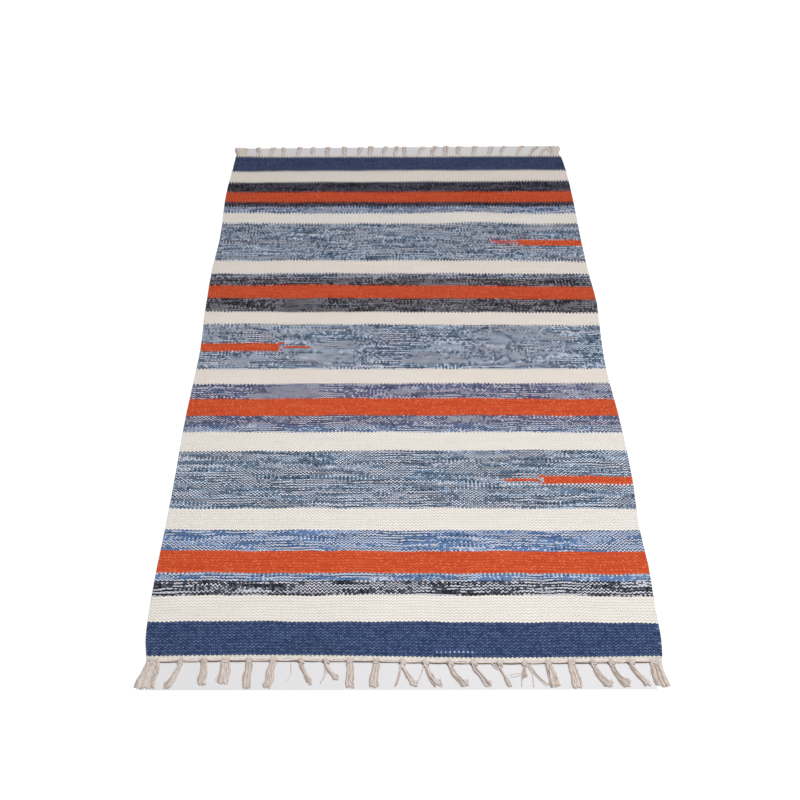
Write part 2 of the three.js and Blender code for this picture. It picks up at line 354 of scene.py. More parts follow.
class Wiring:
    """One material's nodes. Inputs may be numbers, colours or the outputs of other nodes."""

    def __init__(self, name):
        self.material = bpy.data.materials.new(name)
        self.material.use_nodes = True
        self.tree = self.material.node_tree
        self.shader = self.tree.nodes["Principled BSDF"]

    def feed(self, socket, value):
        if isinstance(value, bpy.types.NodeSocket):
            self.tree.links.new(value, socket)
        else:
            socket.default_value = value

    def surface(self, inputs):
        """Feeds the inputs of the surface itself, and returns the material."""
        for name, value in inputs.items():
            self.feed(self.shader.inputs[name], value)
        return self.material

    def node(self, kind, inputs=(), output=0, **settings):
        made = self.tree.nodes.new(kind)
        for key, value in settings.items():
            setattr(made, key, value)
        for key, value in dict(inputs).items():
            self.feed(made.inputs[key], value)
        return made.outputs[output]

    def math(self, operation, *values):
        return self.node("ShaderNodeMath", enumerate(values), operation=operation)

    def plus(self, a, b):
        return self.math("ADD", a, b)

    def minus(self, a, b):
        return self.math("SUBTRACT", a, b)

    def times(self, a, b):
        return self.math("MULTIPLY", a, b)

    def times_plus(self, a, b, c):
        return self.math("MULTIPLY_ADD", a, b, c)

    def split(self, value):
        """The whole number below a value, and how far the value is from half way to the next."""
        whole = self.math("FLOOR", value)
        return whole, self.minus(self.minus(value, whole), 0.5)

    def wave(self, operation, value):
        """A SINE or COSINE that turns once every two warps or picks."""
        return self.math(operation, self.times(value, math.pi))

    def vector(self, x, y, z=0.0):
        return self.node("ShaderNodeCombineXYZ", {0: x, 1: y, 2: z})

    def uv(self, name):
        place = self.node("ShaderNodeUVMap", uv_map=name)
        split = self.node("ShaderNodeSeparateXYZ", {0: place}).node
        return split.outputs[0], split.outputs[1]

    def noise(self, x, y, detail=0.0):
        inputs = {"Vector": self.vector(x, y), "Scale": 1.0, "Detail": detail}
        return self.node("ShaderNodeTexNoise", inputs, noise_dimensions="2D")

    def dice(self, x, y, z=0.0):
        """An even draw from 0 to 1 for each whole-numbered place."""
        return self.node("ShaderNodeTexWhiteNoise", {"Vector": self.vector(x, y, z)})

    def mix(self, share, a, b):
        inputs = {0: share, 6: a, 7: b}
        return self.node("ShaderNodeMix", inputs, output=2, data_type="RGBA")

    def brighten(self, colour, share):
        return self.node("ShaderNodeVectorMath", {0: colour, 3: share}, operation="SCALE")

    def tinted(self, colour, tint):
        return self.node("ShaderNodeVectorMath", {0: colour, 1: tint}, operation="MULTIPLY")

    def table(self, at, colours):
        """The colour at one whole-numbered place of a short list."""
        middle = self.math("DIVIDE", self.plus(at, 0.5), float(len(colours)))
        ramp = self.node("ShaderNodeValToRGB", {0: middle}).node
        ramp.color_ramp.interpolation = "CONSTANT"
        stops = ramp.color_ramp.elements
        for i, colour in enumerate(colours):
            stop = stops[i] if i < 2 else stops.new(i / len(colours))
            stop.position = i / len(colours)
            stop.color = colour
        return ramp.outputs[0], ramp.outputs[1]

    def range(self, value, low_in, high_in, low_out, high_out):
        """Maps one span of values onto another, and stops at its ends."""
        spans = {0: value, 1: low_in, 2: high_in, 3: low_out, 4: high_out}
        return self.node("ShaderNodeMapRange", spans)

    def growth(self, pick, row):
        """What one Growth row says at a pick."""
        return self.range(pick, row.from_pick, row.to_pick, row.near, row.far)

    def drift(self, warp, pick, row):
        """What one Drift row says at a warp and a pick or strand."""
        across = self.times(warp, row.per_warp)
        along = self.times_plus(pick, row.per_pick, row.start)
        return self.range(self.noise(across, along, row.detail), *row[4:])

    def bump(self, height, depth):
        return self.node("ShaderNodeBump", {"Height": height, "Distance": depth, "Strength": 1.0})


# ---------------- loom coordinates


class Loom:
    """Where warps and picks lie on the rug, from the CAD outline and the stripes' edges."""

    def __init__(self, outline):
        x, y = outline[:, 0], outline[:, 1]
        at, left = self.sorted_by(outline[x < -SIDE_FROM], 1)
        self.left = at, left + LEFT_INSET
        self.right = self.sorted_by(outline[x > SIDE_FROM], 1)
        self.near = self.sorted_by(outline[y < NEAR_END_TO], 0)
        self.far = self.sorted_by(outline[y > FAR_END_FROM], 0)
        self.first_picks = [FIRST_STRIPE_PICK]
        before = FIRST_STRIPE_AT
        for stripe in STRIPES:
            picks = 2 * round((stripe.middle - before) / PICK_PITCH / 2)
            self.first_picks.append(self.first_picks[-1] + picks)
            before = stripe.middle
        self.picks = self.first_picks[-1] + 1
        # Two stripes' floats interlock, so their measured edge is half a pick before the first pick.
        self.anchors = np.array(self.first_picks, float) - 0.5

    @staticmethod
    def sorted_by(points, axis):
        order = np.argsort(points[:, axis])
        return points[order, axis], points[order, 1 - axis]

    def near_end(self, x):
        return np.interp(x, *self.near)

    def far_end(self, x):
        return np.interp(x, *self.far)

    def edges(self, x):
        """y of every stripe's edges, from the near end to the far one, at each x."""
        rows = [self.near_end(x)]
        s = x / STRIPE_REACH
        for i, stripe in enumerate(STRIPES[:-1]):
            bow = (stripe.left + stripe.right) / 2 - stripe.middle
            y = stripe.middle + (stripe.right - stripe.left) / 2 * s + bow * s * s
            for bulge in BULGES:
                if bulge.stripe == i:
                    y = y + bulge.rise * np.exp(-(((x - bulge.x) / bulge.half_width) ** 2))
            rows.append(y)
        rows.append(self.far_end(x))
        return np.array(rows)

    def y_at(self, x, v):
        """y of pick v at x. Both are arrays of one shape."""
        rows = self.edges(x)
        stripe = np.searchsorted(self.anchors, v, side="right") - 1
        stripe = np.clip(stripe, 0, len(STRIPES) - 1)
        share = (v - self.anchors[stripe]) / (self.anchors[stripe + 1] - self.anchors[stripe])
        near = np.take_along_axis(rows, stripe[None], 0)[0]
        far = np.take_along_axis(rows, stripe[None] + 1, 0)[0]
        return near + (far - near) * share + self.wander(x, v)

    def wander(self, x, v):
        """How far a pick is from straight. The ends of the rug follow their outline."""
        fade = np.clip(np.minimum(v, self.picks - v) / WAVES_FULL_AT, 0, 1)
        y = 0
        for wave in PICK_WAVES:
            y = y + wave.height * np.sin(x / wave.across + v / wave.along + wave.phase)
        return fade * y

    def sides(self, y):
        return np.interp(y, *self.left), np.interp(y, *self.right)

    def x_at(self, u, y):
        left, right = self.sides(y)
        return left + (right - left) * u / WARPS

    def place(self, u, v):
        """x and y of loom coordinates u and v, which are arrays of one shape."""
        x = (u / WARPS - 0.5) * 2 * STRIPE_REACH
        for _ in range(2):
            y = self.y_at(x, v)
            x = self.x_at(u, y)
        return x, y

    def warp_at(self, x, y):
        left, right = self.sides(y)
        return float((x - left) / (right - left) * WARPS)

    def pick_at(self, x, y):
        v = np.arange(self.picks + 1.0)
        return float(np.interp(y, self.y_at(np.full_like(v, x), v), v))


def cad_outline():
    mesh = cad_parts["woven_field"].data
    points = np.zeros(len(mesh.vertices) * 3, np.float32)
    mesh.vertices.foreach_get("co", points)
    flat = points.reshape(-1, 3)[:, :2] / MM
    return np.unique(flat.round(3), axis=0)


# ---------------- meshes


def make_object(name, points, faces, uv_name, uv, material):
    """A smooth-shaded mesh. points are millimetres; uv has one row per point."""
    mesh = bpy.data.meshes.new(name)
    mesh.from_pydata((np.asarray(points) * MM).tolist(), [], faces)
    bm = bmesh.new()
    bm.from_mesh(mesh)
    bmesh.ops.recalc_face_normals(bm, faces=bm.faces)
    bm.to_mesh(mesh)
    bm.free()
    corners = np.zeros(len(mesh.loops), np.int32)
    mesh.loops.foreach_get("vertex_index", corners)
    layer = mesh.uv_layers.new(name=uv_name)
    layer.data.foreach_set("uv", np.asarray(uv, np.float32)[corners].ravel())
    mesh.shade_smooth()
    mesh.materials.append(material)
    made = bpy.data.objects.new(name, mesh)
    bpy.context.scene.collection.objects.link(made)
    return made


def ripple(x, y):
    """How far the cloth stands off the floor: low swells, and corners that lift a little."""
    swell = 0.5 + 0.5 * np.sin(x / 150 + y / 95) * np.sin(y / 130 - x / 210 + 0.8)
    lift = 0
    for corner in CORNER_LIFTS:
        away = (x - corner.x) ** 2 + (y - corner.y) ** 2
        lift = lift + corner.rise * np.exp(-away / CORNER_REACH**2)
    return SWELL_HEIGHT * swell + lift


class Patches:
    """Grids of loom places, gathered into one closed mesh."""

    def __init__(self, loom):
        self.loom = loom
        self.parts = []
        self.uv = []
        self.faces = []

    def grid(self, u, v, height, outward=0.0, rib=0.0):
        """A grid whose rows follow v and columns follow u. Returns its point numbers."""
        shape = (len(v), len(u))
        u, v = np.broadcast_to(u, shape), np.broadcast_to(v[:, None], shape)
        x, y = self.loom.place(np.clip(u, 0, WARPS), v)
        crest = 0.5 - 0.5 * np.cos(2 * math.pi * u)
        z = height * CLOTH_THICKNESS + rib * RIB_HEIGHT * crest + ripple(x, y)
        first = sum(len(part) for part in self.parts)
        self.parts.append(np.stack([x + outward, y, z], -1).reshape(-1, 3))
        self.uv.append(np.stack([u, v], -1).reshape(-1, 2))
        numbers = first + np.arange(shape[0] * shape[1]).reshape(shape)
        a, b, c, d = numbers[:-1, :-1], numbers[:-1, 1:], numbers[1:, 1:], numbers[1:, :-1]
        self.faces += np.stack([a, b, c, d], -1).reshape(-1, 4).tolist()
        return numbers

    def zip(self, a, a_at, b, b_at):
        """Triangles between two lines of points side by side, each with its rising places."""
        a, b = a.tolist(), b.tolist()
        i = j = 0
        while i < len(a) - 1 or j < len(b) - 1:
            a_is_next = i < len(a) - 1 and (j == len(b) - 1 or a_at[i + 1] <= b_at[j + 1])
            if a_is_next:
                self.faces.append((a[i], a[i + 1], b[j]))
                i += 1
            else:
                self.faces.append((a[i], b[j + 1], b[j]))
                j += 1


def selvedge(patches, v, side):
    """The rounded edge strip: the weft turns round the last warp, and each turn stands out."""
    steps = np.arange(1, SELVEDGE_STEPS)
    turn = math.pi * steps / SELVEDGE_STEPS
    u = (WARPS if side > 0 else 0) + side * SELVEDGE_WARPS * steps
    row = np.arange(len(v))
    turns = 0.5 + 0.5 * np.cos(math.pi * row) + 0.35 * np.sin(row * 0.37) * np.sin(row * 0.113)
    turns = turns * (row > 0) * (row < len(v) - 1)
    reach = SELVEDGE_BULGE + SELVEDGE_SCALLOP * turns[:, None]
    return patches.grid(u, v, 0.5 + 0.5 * np.cos(turn), side * reach * np.sin(turn))


def woven_cloth(loom, material):
    """The field as one closed mesh, ribbed along its warps on top."""
    patches = Patches(loom)
    rows = round(loom.picks / PICKS_PER_ROW)
    last = loom.picks - HEADING_START
    v = np.linspace(HEADING_START, last, rows + 1)
    fine_v = np.linspace(HEADING_START, last, rows * EDGE_ROWS_PER_ROW + 1)
    top_u = np.linspace(0, WARPS, WARPS * COLUMNS_PER_WARP + 1)
    under_u = np.linspace(0, WARPS, UNDERSIDE_STEPS + 1)
    top = patches.grid(top_u, v, 1.0, rib=1.0)
    under = patches.grid(under_u, v, 0.0)
    left = selvedge(patches, fine_v, -1)
    right = selvedge(patches, fine_v, 1)
    for strip, column in ((left, 0), (right, -1)):
        patches.zip(top[:, column], v, strip[:, 0], fine_v)
        patches.zip(under[:, column], v, strip[:, -1], fine_v)
    outside = np.arange(1, SELVEDGE_STEPS)
    low_u = np.concatenate([outside - SELVEDGE_STEPS, under_u, WARPS + outside])
    for row in (0, -1):
        low = np.concatenate([left[row], under[row], right[row][::-1]])
        patches.zip(top[row], top_u, low, low_u)
    points = np.vstack(patches.parts)
    return make_object("woven_cloth", points, patches.faces, "loom", np.vstack(patches.uv), material)


# ---------------- yarns as tubes


def curve_through(points, steps):
    """A smooth curve through points, with that many samples from each to the next."""
    p = np.asarray(points, float)
    p = np.vstack([2 * p[0] - p[1], p, 2 * p[-1] - p[-2]])
    t = np.arange(steps)[:, None] / steps
    spans = []
    for a, b, c, d in zip(p[:-3], p[1:-2], p[2:-1], p[3:]):
        spans.append(b + 0.5 * t * (c - a + t * (2 * a - 5 * b + 4 * c - d + t * (3 * (b - c) + d - a))))
    return np.vstack(spans + [p[-2:-1]])


def directions(path):
    """Ahead, to the side and up at each point of a path, turning as little as they can."""
    ahead = np.gradient(path, axis=0)
    ahead /= np.linalg.norm(ahead, axis=1)[:, None]
    side = np.cross(ahead[0], (0, 0.1, 1))
    sides = []
    for direction in ahead:
        side = side - direction * (side @ direction)
        side = side / np.linalg.norm(side)
        sides.append(side)
    return ahead, np.array(sides), np.cross(ahead, sides)


class Yarns:
    """Gathers plied yarns as tubes into one mesh."""

    def __init__(self):
        self.points = []
        self.faces = []
        self.uv = []

    def add(self, path, radius, tone, sides=6, ply=0.12, lay=7.0):
        """One yarn. radius is a number or one per point; lay is the length of a twist."""
        count = len(path)
        radius = np.broadcast_to(radius, count)
        ahead, side, up = directions(path)
        steps = np.linalg.norm(np.diff(path, axis=0), axis=1)
        along = np.concatenate([[0], np.cumsum(steps)])
        turn = np.arange(sides) * 2 * math.pi / sides
        lobes = 1 + ply * np.cos(2 * (turn[None] - 2 * math.pi * along[:, None] / lay))
        reach = (radius[:, None] * lobes)[..., None]
        outward = np.cos(turn)[None, :, None] * side[:, None] + np.sin(turn)[None, :, None] * up[:, None]
        ring = path[:, None] + reach * outward
        first = sum(len(part) for part in self.points)
        ends = np.array([path[0] - ahead[0] * radius[0] * 0.5, path[-1] + ahead[-1] * radius[-1] * 0.5])
        self.points.append(np.vstack([ring.reshape(-1, 3), ends]))
        tones = np.full(count * sides + 2, tone)
        lengths = np.concatenate([np.repeat(along, sides), [0, along[-1]]])
        self.uv.append(np.stack([lengths, tones], -1))
        for j in range(count - 1):
            row = first + j * sides
            for i in range(sides):
                k = (i + 1) % sides
                self.faces.append((row + i, row + k, row + sides + k, row + sides + i))
        start, stop = first + count * sides, first + count * sides + 1
        last = first + (count - 1) * sides
        for i in range(sides):
            k = (i + 1) % sides
            self.faces.append((first + k, first + i, start))
            self.faces.append((last + i, last + k, stop))

    def object(self, name, material):
        return make_object(
            name, np.vstack(self.points), self.faces, "yarn", np.vstack(self.uv), material
        )


class End(namedtuple("End", "outline side corners tassels strays cord_tone tones chance")):
    """One end of the rug: its last pick, which way is outwards, and what its fringe is made of."""

    def out(self, x, distance):
        """y at this distance outwards from the last pick."""
        return self.outline(x) + self.side * (distance + PICK_PITCH / 2)

    def place(self, stops):
        """World points for stops of x, distance outwards and height."""
        return [(x, float(self.out(x, distance)), z) for x, distance, z in stops]

    def tone(self):
        return self.chance.uniform(*self.tones)

    def jitter(self, size):
        return self.chance.uniform(-size, size)


def heading(end, yarns):
    """A slack pick of raw cotton beyond the cloth, over and under the warps."""
    left, right = end.corners
    pitch = (right - left) / WARPS
    x = np.arange(left, right, pitch / 2)
    wave = np.cos((x - left) / pitch * math.pi + math.pi)
    y = end.out(x, HEADING_AT + 0.25 * wave)
    z = HEADING_HEIGHT + 0.4 * wave + 0.25 * np.sin(x / 37 + math.pi)
    yarns.add(np.stack([x, y, z], -1), HEADING_RADIUS, HEADING_TONE, sides=7, ply=0.08)


def edge_cord(end, yarns):
    """The yarns that run along the edge from knot to knot."""
    x = np.arange(*end.corners, 3.0)
    for number, row in enumerate(CORD_YARNS):
        sway = 0.45 * np.sin(x / 19 + 2 * number) + 0.3 * np.sin(x / 8.3 + number)
        y = end.out(x, row.distance + sway)
        z = row.height + 0.3 * np.sin(x / 23 + 1 + number)
        radius = row.radius * (1 + 0.1 * np.sin(x / 31 + number))
        yarns.add(np.stack([x, y, z], -1), radius, end.cord_tone, ply=0.1, lay=11)


def gathered_warps(end, yarns):
    """The warps that come along the edge from both sides into each knot."""
    for row in end.tassels:
        for away in (-1, 1):
            for rank in range(2):
                start = row.at + away * (15 - 4 * rank + end.jitter(1.5))
                stops = [
                    (start, 4.6 + rank, 2.0),
                    (row.at + away * 10, 6.0 + 1.2 * rank + end.jitter(0.4), 3.0 + 0.4 * rank),
                    (row.at + away * 5, 7.0 + 1.0 * rank, 3.8),
                    (row.at + away * 1, 7.8 + 1.0 * rank, 3.6),
                ]
                stops = [(min(max(x, end.corners[0]), end.corners[1]), d, z) for x, d, z in stops]
                yarns.add(curve_through(end.place(stops), 4), GATHERED_RADIUS, end.cord_tone)


def painted_crease_shadows(end, yarns):
    """Dark yarns that are painted shadow: under the cord, and down the left of each knot."""
    for row, following in zip(end.tassels, end.tassels[1:]):
        stops = [
            (row.at + 6, 9.2 + end.jitter(0.3), 1.6),
            ((row.at + following.at) / 2, 9.4 + end.jitter(0.6), 1.3),
            (following.at - 8, 9.0 + end.jitter(0.3), 1.7),
            (following.at - 5.5, 9.8, 2.4),
            (following.at - 3.5, 12.5, 1.6),
        ]
        path = curve_through(end.place(stops), 5)
        yarns.add(path, CREASE_SHADOW_RADIUS, PAINTED_SHADOW_TONE, sides=5, ply=0)


def knot_turns(end, yarns, row):
    """The band round a tassel's neck: each turn is narrower, and further along the tassel."""
    half_width = KNOT_HALF_WIDTH + KNOT_YARN_WIDTH * row.yarns
    slant = (row.tip - row.at) / (row.reach - KNOT_REACH) * KNOT_SPACING
    lean = end.jitter(0.9)
    turn = np.linspace(-0.5, 1.5, 17) * math.pi
    for i in range(KNOT_TURNS):
        x = row.at + slant * i + half_width * (1 - 0.2 * i) * np.cos(turn)
        distance = KNOT_AT + KNOT_SPACING * i + lean * np.cos(turn)
        z = 1.15 * KNOT_YARN_RADIUS + KNOT_HEIGHT * (1 - 0.12 * i) * (1 + np.sin(turn))
        path = np.stack([x, end.out(x, distance), z], -1)
        yarns.add(path, KNOT_YARN_RADIUS, end.tone())


def tassel_yarn(end, row, slot, level, phase):
    """One yarn of a tassel: under the knot's turns and out along the floor to its tip."""
    lean = abs(row.tip - row.at)
    neck = max(LEAST_NECK, NECK_SHARE - NECK_LOSS * lean) * row.width + 1 - 2 * YARN_RADIUS
    tip = row.width - 2 * YARN_RADIUS
    belly = BELLY_SHARE * row.width
    start = row.at + slot * neck
    stops = end.place([
        (start, 2.5, 2.4),
        (start, 6.5, 2.8 + 1.5 * level),
        (start, TAIL_START, 2.2 + 1.8 * level),
    ])
    start_y = stops[-1][1]
    tip_y = end.side * (row.reach - end.chance.uniform(0, SHORT_BY))
    for share in TAIL_SHARES:
        swung = share + (BEND_SHARE - 0.5) * math.sin(math.pi * share)
        width = neck + (tip - neck) * share + belly * math.sin(math.pi * share)
        x = row.at + (row.tip - row.at) * swung + slot * width + end.jitter(1.0)
        x = x + SWAY * (math.sin(7 * share + phase) - math.sin(phase))
        y = start_y + (tip_y - start_y) * share
        z = YARN_RADIUS * 1.3 + level * YARN_RADIUS * (1.6 - 0.7 * share) + end.chance.uniform(0, 0.3)
        stops.append((x, y, z))
    path = curve_through(stops, 4)
    radius = np.full(len(path), YARN_RADIUS)
    radius[-3:] = (YARN_RADIUS * 1.1, YARN_RADIUS * 1.15, YARN_RADIUS * 0.8)
    return path, radius


def frayed_tip(end, yarns, tip):
    """Fine fibres that have come loose where a yarn was cut."""
    for _ in range(FRAYS):
        lean = end.jitter(0.8)
        length = end.chance.uniform(1.5, 4)
        root = tip - np.array([0, end.side * end.chance.uniform(3, 12), 0])
        far = tip + np.array([lean * length, end.side * (length * 0.5 - 2), 0])
        far[2] = max(0.4, tip[2] * 0.4)
        middle = (root + far) / 2 + np.array([lean * 1.5, 0, 0.3])
        path = curve_through([root, middle, far], 2)
        yarns.add(path, FRAY_RADIUS, end.tone(), sides=3, ply=0)


def tassels(end, yarns):
    for row in end.tassels:
        knot_turns(end, yarns, row)
        phase = end.chance.uniform(0, 2 * math.pi)
        for i in range(row.yarns):
            slot = i / (row.yarns - 1) - 0.5
            level = 1 if i % 3 == 1 else 0
            path, radius = tassel_yarn(end, row, slot, level, phase)
            # Painted shade: the leftmost yarn, away from the light, and a few others at random, take a
            # darker tone.
            shaded = i == 0 or end.chance.random() < SHADED_YARN_SHARE
            yarns.add(path, radius, SHADED_SIDE_TONE if shaded else end.tone())
            frayed_tip(end, yarns, path[-1])


def stray_yarns(end, yarns):
    for row in end.strays:
        z = row.radius * 1.1 + 0.1
        from_edge = abs(row.y0) < EDGE_REACH
        start = z + (2 if from_edge else 0.4)
        stops = [(row.x0, row.y0, start), (row.x1, row.y1, z + 0.4), (row.x2, row.y2, z)]
        yarns.add(curve_through(stops, 6), row.radius, end.tone(), sides=5, ply=0.05)


# ---------------- materials


def crimp(w, u):
    """The wave of the weft over and under the warps: 1 in the middle of even columns, -1 in odd."""
    return w.wave("SINE", u)


def float_cell(w, u, v):
    """The float that covers a place: its column, its pick, and where in the float that is."""
    bulge = w.times(w.wave("COSINE", u), w.wave("COSINE", v))
    swollen = w.times_plus(bulge, -FLOAT_SWELL, u)
    column, across = w.split(swollen)
    odd = w.math("FLOORED_MODULO", column, 2.0)
    # Every second column's floats lie one pick further on, so a row of floats is a wave.
    waved = w.times_plus(crimp(w, u), w.growth(v, CRIMP_DEPTH), v)
    row, along = w.split(w.times(w.plus(waved, 0.5), 0.5))
    pick = w.minus(w.times_plus(row, 2.0, 1.0), odd)
    return column, pick, across, along


def dome(w, offset):
    """1 in the middle of a float and 0 at its edges. offset runs from -0.5 to 0.5."""
    return w.minus(1.0, w.math("POWER", w.math("ABSOLUTE", w.times(offset, 2.0)), 2.0))


def yarn_number(w, column, pick, loom):
    """Which yarn of YARNS a float is, from the stripe it is in and the inlays."""
    order = ["heading"] + [stripe.yarn for stripe in STRIPES] + ["heading"]
    number = float(YARN_NUMBER["heading"])
    for before, after, first in zip(order, order[1:], loom.first_picks):
        change = YARN_NUMBER[after] - YARN_NUMBER[before]
        reached = w.math("GREATER_THAN", pick, first - 0.5)
        number = w.times_plus(reached, float(change), number)
    for inlay in INLAYS:
        middle_x = (inlay.x_from + inlay.x_to) / 2
        middle_y = (inlay.y_from + inlay.y_to) / 2
        columns = [loom.warp_at(x, middle_y) for x in (inlay.x_from, inlay.x_to)]
        picks = [round(loom.pick_at(middle_x, y)) for y in (inlay.y_from, inlay.y_to)]
        in_columns = w.math("COMPARE", column, sum(columns) / 2, (columns[1] - columns[0]) / 2)
        in_picks = w.math("COMPARE", pick, sum(picks) / 2, (picks[1] - picks[0]) / 2 + 0.1)
        inside = w.times(in_columns, in_picks)
        change = w.minus(float(YARN_NUMBER[inlay.yarn]), number)
        number = w.times_plus(inside, change, number)
    return number


def strand_at(w, u, v):
    """The strand that shows: its number, its place in its row, and the distance from its middle."""
    swing = w.times(w.drift(u, v, SWING), w.growth(v, SWING_GROWTH))
    swung = w.times_plus(crimp(w, u), swing, v)
    slipped = w.plus(swung, w.drift(u, v, SLIP))
    strand, offset = w.split(w.times(w.plus(slipped, 0.5), STRANDS / 2))
    return strand, w.math("FLOORED_MODULO", strand, float(STRANDS)), offset


def strand_level(w, u, v, column, pick, strand, strand_place):
    """Which of a yarn's strands shows, from 0 for its darkest to 1 for its lightest."""
    level = w.plus(w.drift(u, strand, RUN), w.drift(u, strand, TURNS))
    # A dark and a light strand laid in together show as zigzags, and lone picks as upright bars.
    turn = w.minus(0.5, strand_place)
    level = w.times_plus(turn, w.drift(u, v, ZIGZAG), level)
    odd_pick = w.minus(w.math("FLOORED_MODULO", pick, 2.0), 0.5)
    level = w.times_plus(odd_pick, w.drift(u, pick, BARS), level)
    own = w.minus(w.dice(column, pick, OWN_DRAW), 0.5)
    return w.times_plus(own, w.growth(v, OWN_LEVEL), level)


def dye(w, number, colour, share):
    """Two columns of YARNS for a yarn's number: a colour, and the value that goes with it."""
    return w.table(number, [linear(getattr(y, colour))[:3] + (getattr(y, share),) for y in YARNS])


def strand_colour(w, number, level, mid):
    """Dark, mid or light, in the yarn's shares."""
    dark, dark_share = dye(w, number, "dark", "dark_share")
    light, light_share = dye(w, number, "light", "light_share")
    colour = w.mix(w.math("LESS_THAN", level, dark_share), mid, dark)
    is_light = w.math("GREATER_THAN", level, w.minus(1.0, light_share))
    return w.mix(is_light, colour, light)


def with_crown_highlight(w, number, column, pick, crown, colour):
    """The colour with the yarn's painted highlight on the crown of some floats, each of its own
    strength.
    """
    speck, speck_share = dye(w, number, "speck", "speck_share")
    unlucky = w.minus(1.0, speck_share)
    luck = w.range(w.dice(column, pick), unlucky, 1.0, 0.0, CROWN_HIGHLIGHT_STRENGTH)
    return w.mix(w.times(luck, crown), colour, speck)


def strand_tint(w, u, strand, relief):
    """A strand's tint, which drifts from warm to cool and is strong where the relief is."""
    tint = w.mix(w.drift(u, strand, TINT), WARM_TINT, COOL_TINT)
    strength = w.times(w.times(relief, relief), TINT_STRENGTH)
    return w.mix(strength, (1, 1, 1, 1), tint)


def painted_relief_shade_and_tone(w, u, pick, offset, crown, relief):
    """Painted light on a float's crown and painted shade in its hollows and the grooves between strands,
    with its patch's and its pick's own tone.
    """
    # Painted light on crowns above MEAN_CROWN, and painted shade in the hollows below it.
    crest = w.times(w.minus(crown, MEAN_CROWN), PAINTED_RELIEF_CONTRAST)
    crest = w.times_plus(crest, relief, 1.0)
    painted_groove_shade = w.range(w.math("ABSOLUTE", offset), 0.3, 0.5, 0.0, GROOVE_SHADE)
    painted_groove_shade = w.minus(1.0, w.times(relief, painted_groove_shade))
    patch = w.times_plus(w.drift(u, pick, PATCH), relief, 1.0)
    own = w.range(w.dice(pick, PICK_DRAW), 0.0, 1.0, -PICK_SHADE, PICK_SHADE)
    own = w.times_plus(own, relief, 1.0)
    return w.times(w.times(crest, painted_groove_shade), w.times(patch, own))


def cloth_height(w, offset, crown, relief):
    """Floats stand up as domes, with a ridge for each strand."""
    ridge = w.times(dome(w, offset), RIDGE_HEIGHT)
    return w.times(w.plus(w.math("POWER", crown, 0.6), ridge), relief)


def woven_cotton(loom):
    """Weft-faced plain weave: solid stripes and stripes of many-coloured strands."""
    w = Wiring("woven_cotton")
    u, v = w.uv("loom")
    column, pick, across, along = float_cell(w, u, v)
    crown = w.times(dome(w, across), dome(w, along))
    strand, strand_place, offset = strand_at(w, u, v)
    number = yarn_number(w, column, pick, loom)
    mid, relief = dye(w, number, "mid", "relief")
    level = strand_level(w, u, v, column, pick, strand, strand_place)
    colour = strand_colour(w, number, level, mid)
    colour = with_crown_highlight(w, number, column, pick, crown, colour)
    colour = w.tinted(colour, strand_tint(w, u, strand, relief))
    # shade holds painted light on the crowns and painted shade in the hollows and grooves, with random
    # tone.
    shade = painted_relief_shade_and_tone(w, u, pick, offset, crown, relief)
    return w.surface({
        "Base Color": w.brighten(colour, shade),
        "Normal": w.bump(cloth_height(w, offset, crown, relief), BUMP_DEPTH),
        "Roughness": w.range(crown, 0.0, 1.0, 0.95, 0.86),
        "Specular IOR Level": 0.25,
    })


WHITE_COTTON = (236, 231, 224)
PALE_COTTON = (238, 228, 221)
WARM_COTTON = (213, 198, 188)
# the colour of painted shade on the undyed yarns
PAINTED_SHADE_COTTON = (132, 113, 103)
FIBRE_SCALE, FIBRE_DEPTH = 900.0, 0.0003  # to a metre, and in metres
BLOTCH_PER_MM, BLOTCH_PER_TONE = 0.12, 91.0
OBJECT_PLACE = 3  # the texture coordinate node's output


def raw_cotton():
    """Undyed cotton yarn, a little different from one yarn to the next, with painted shade for tones
    above 1.
    """
    w = Wiring("raw_cotton")
    along, tone = w.uv("yarn")
    place = w.node("ShaderNodeTexCoord", output=OBJECT_PLACE)
    fibres = w.node("ShaderNodeTexNoise", {"Vector": place, "Scale": FIBRE_SCALE, "Detail": 2.0})
    along = w.times(along, BLOTCH_PER_MM)
    blotch = w.noise(along, w.times(tone, BLOTCH_PER_TONE), detail=1.0)
    warmth = w.times(w.math("MINIMUM", tone, 1.0), 0.5)
    warmth = w.plus(warmth, w.times(blotch, 0.5))
    colour = w.mix(w.range(warmth, 0.2, 0.8, 0.0, 1.0), linear(PALE_COTTON), linear(WARM_COTTON))
    # Tones above 1 mix towards painted shade.
    colour = w.mix(w.range(tone, 1.0, PAINTED_SHADOW_TONE, 0.0, 1.0), colour, linear(PAINTED_SHADE_COTTON))
    colour = w.mix(w.math("LESS_THAN", tone, WHITE_TONE), colour, linear(WHITE_COTTON))
    shade = w.range(fibres, 0.3, 0.7, 0.9, 1.06)
    return w.surface({
        "Base Color": w.brighten(colour, shade),
        "Normal": w.bump(fibres, FIBRE_DEPTH),
        "Roughness": 0.95,
        "Specular IOR Level": 0.2,
    })


# ---------------- the stage

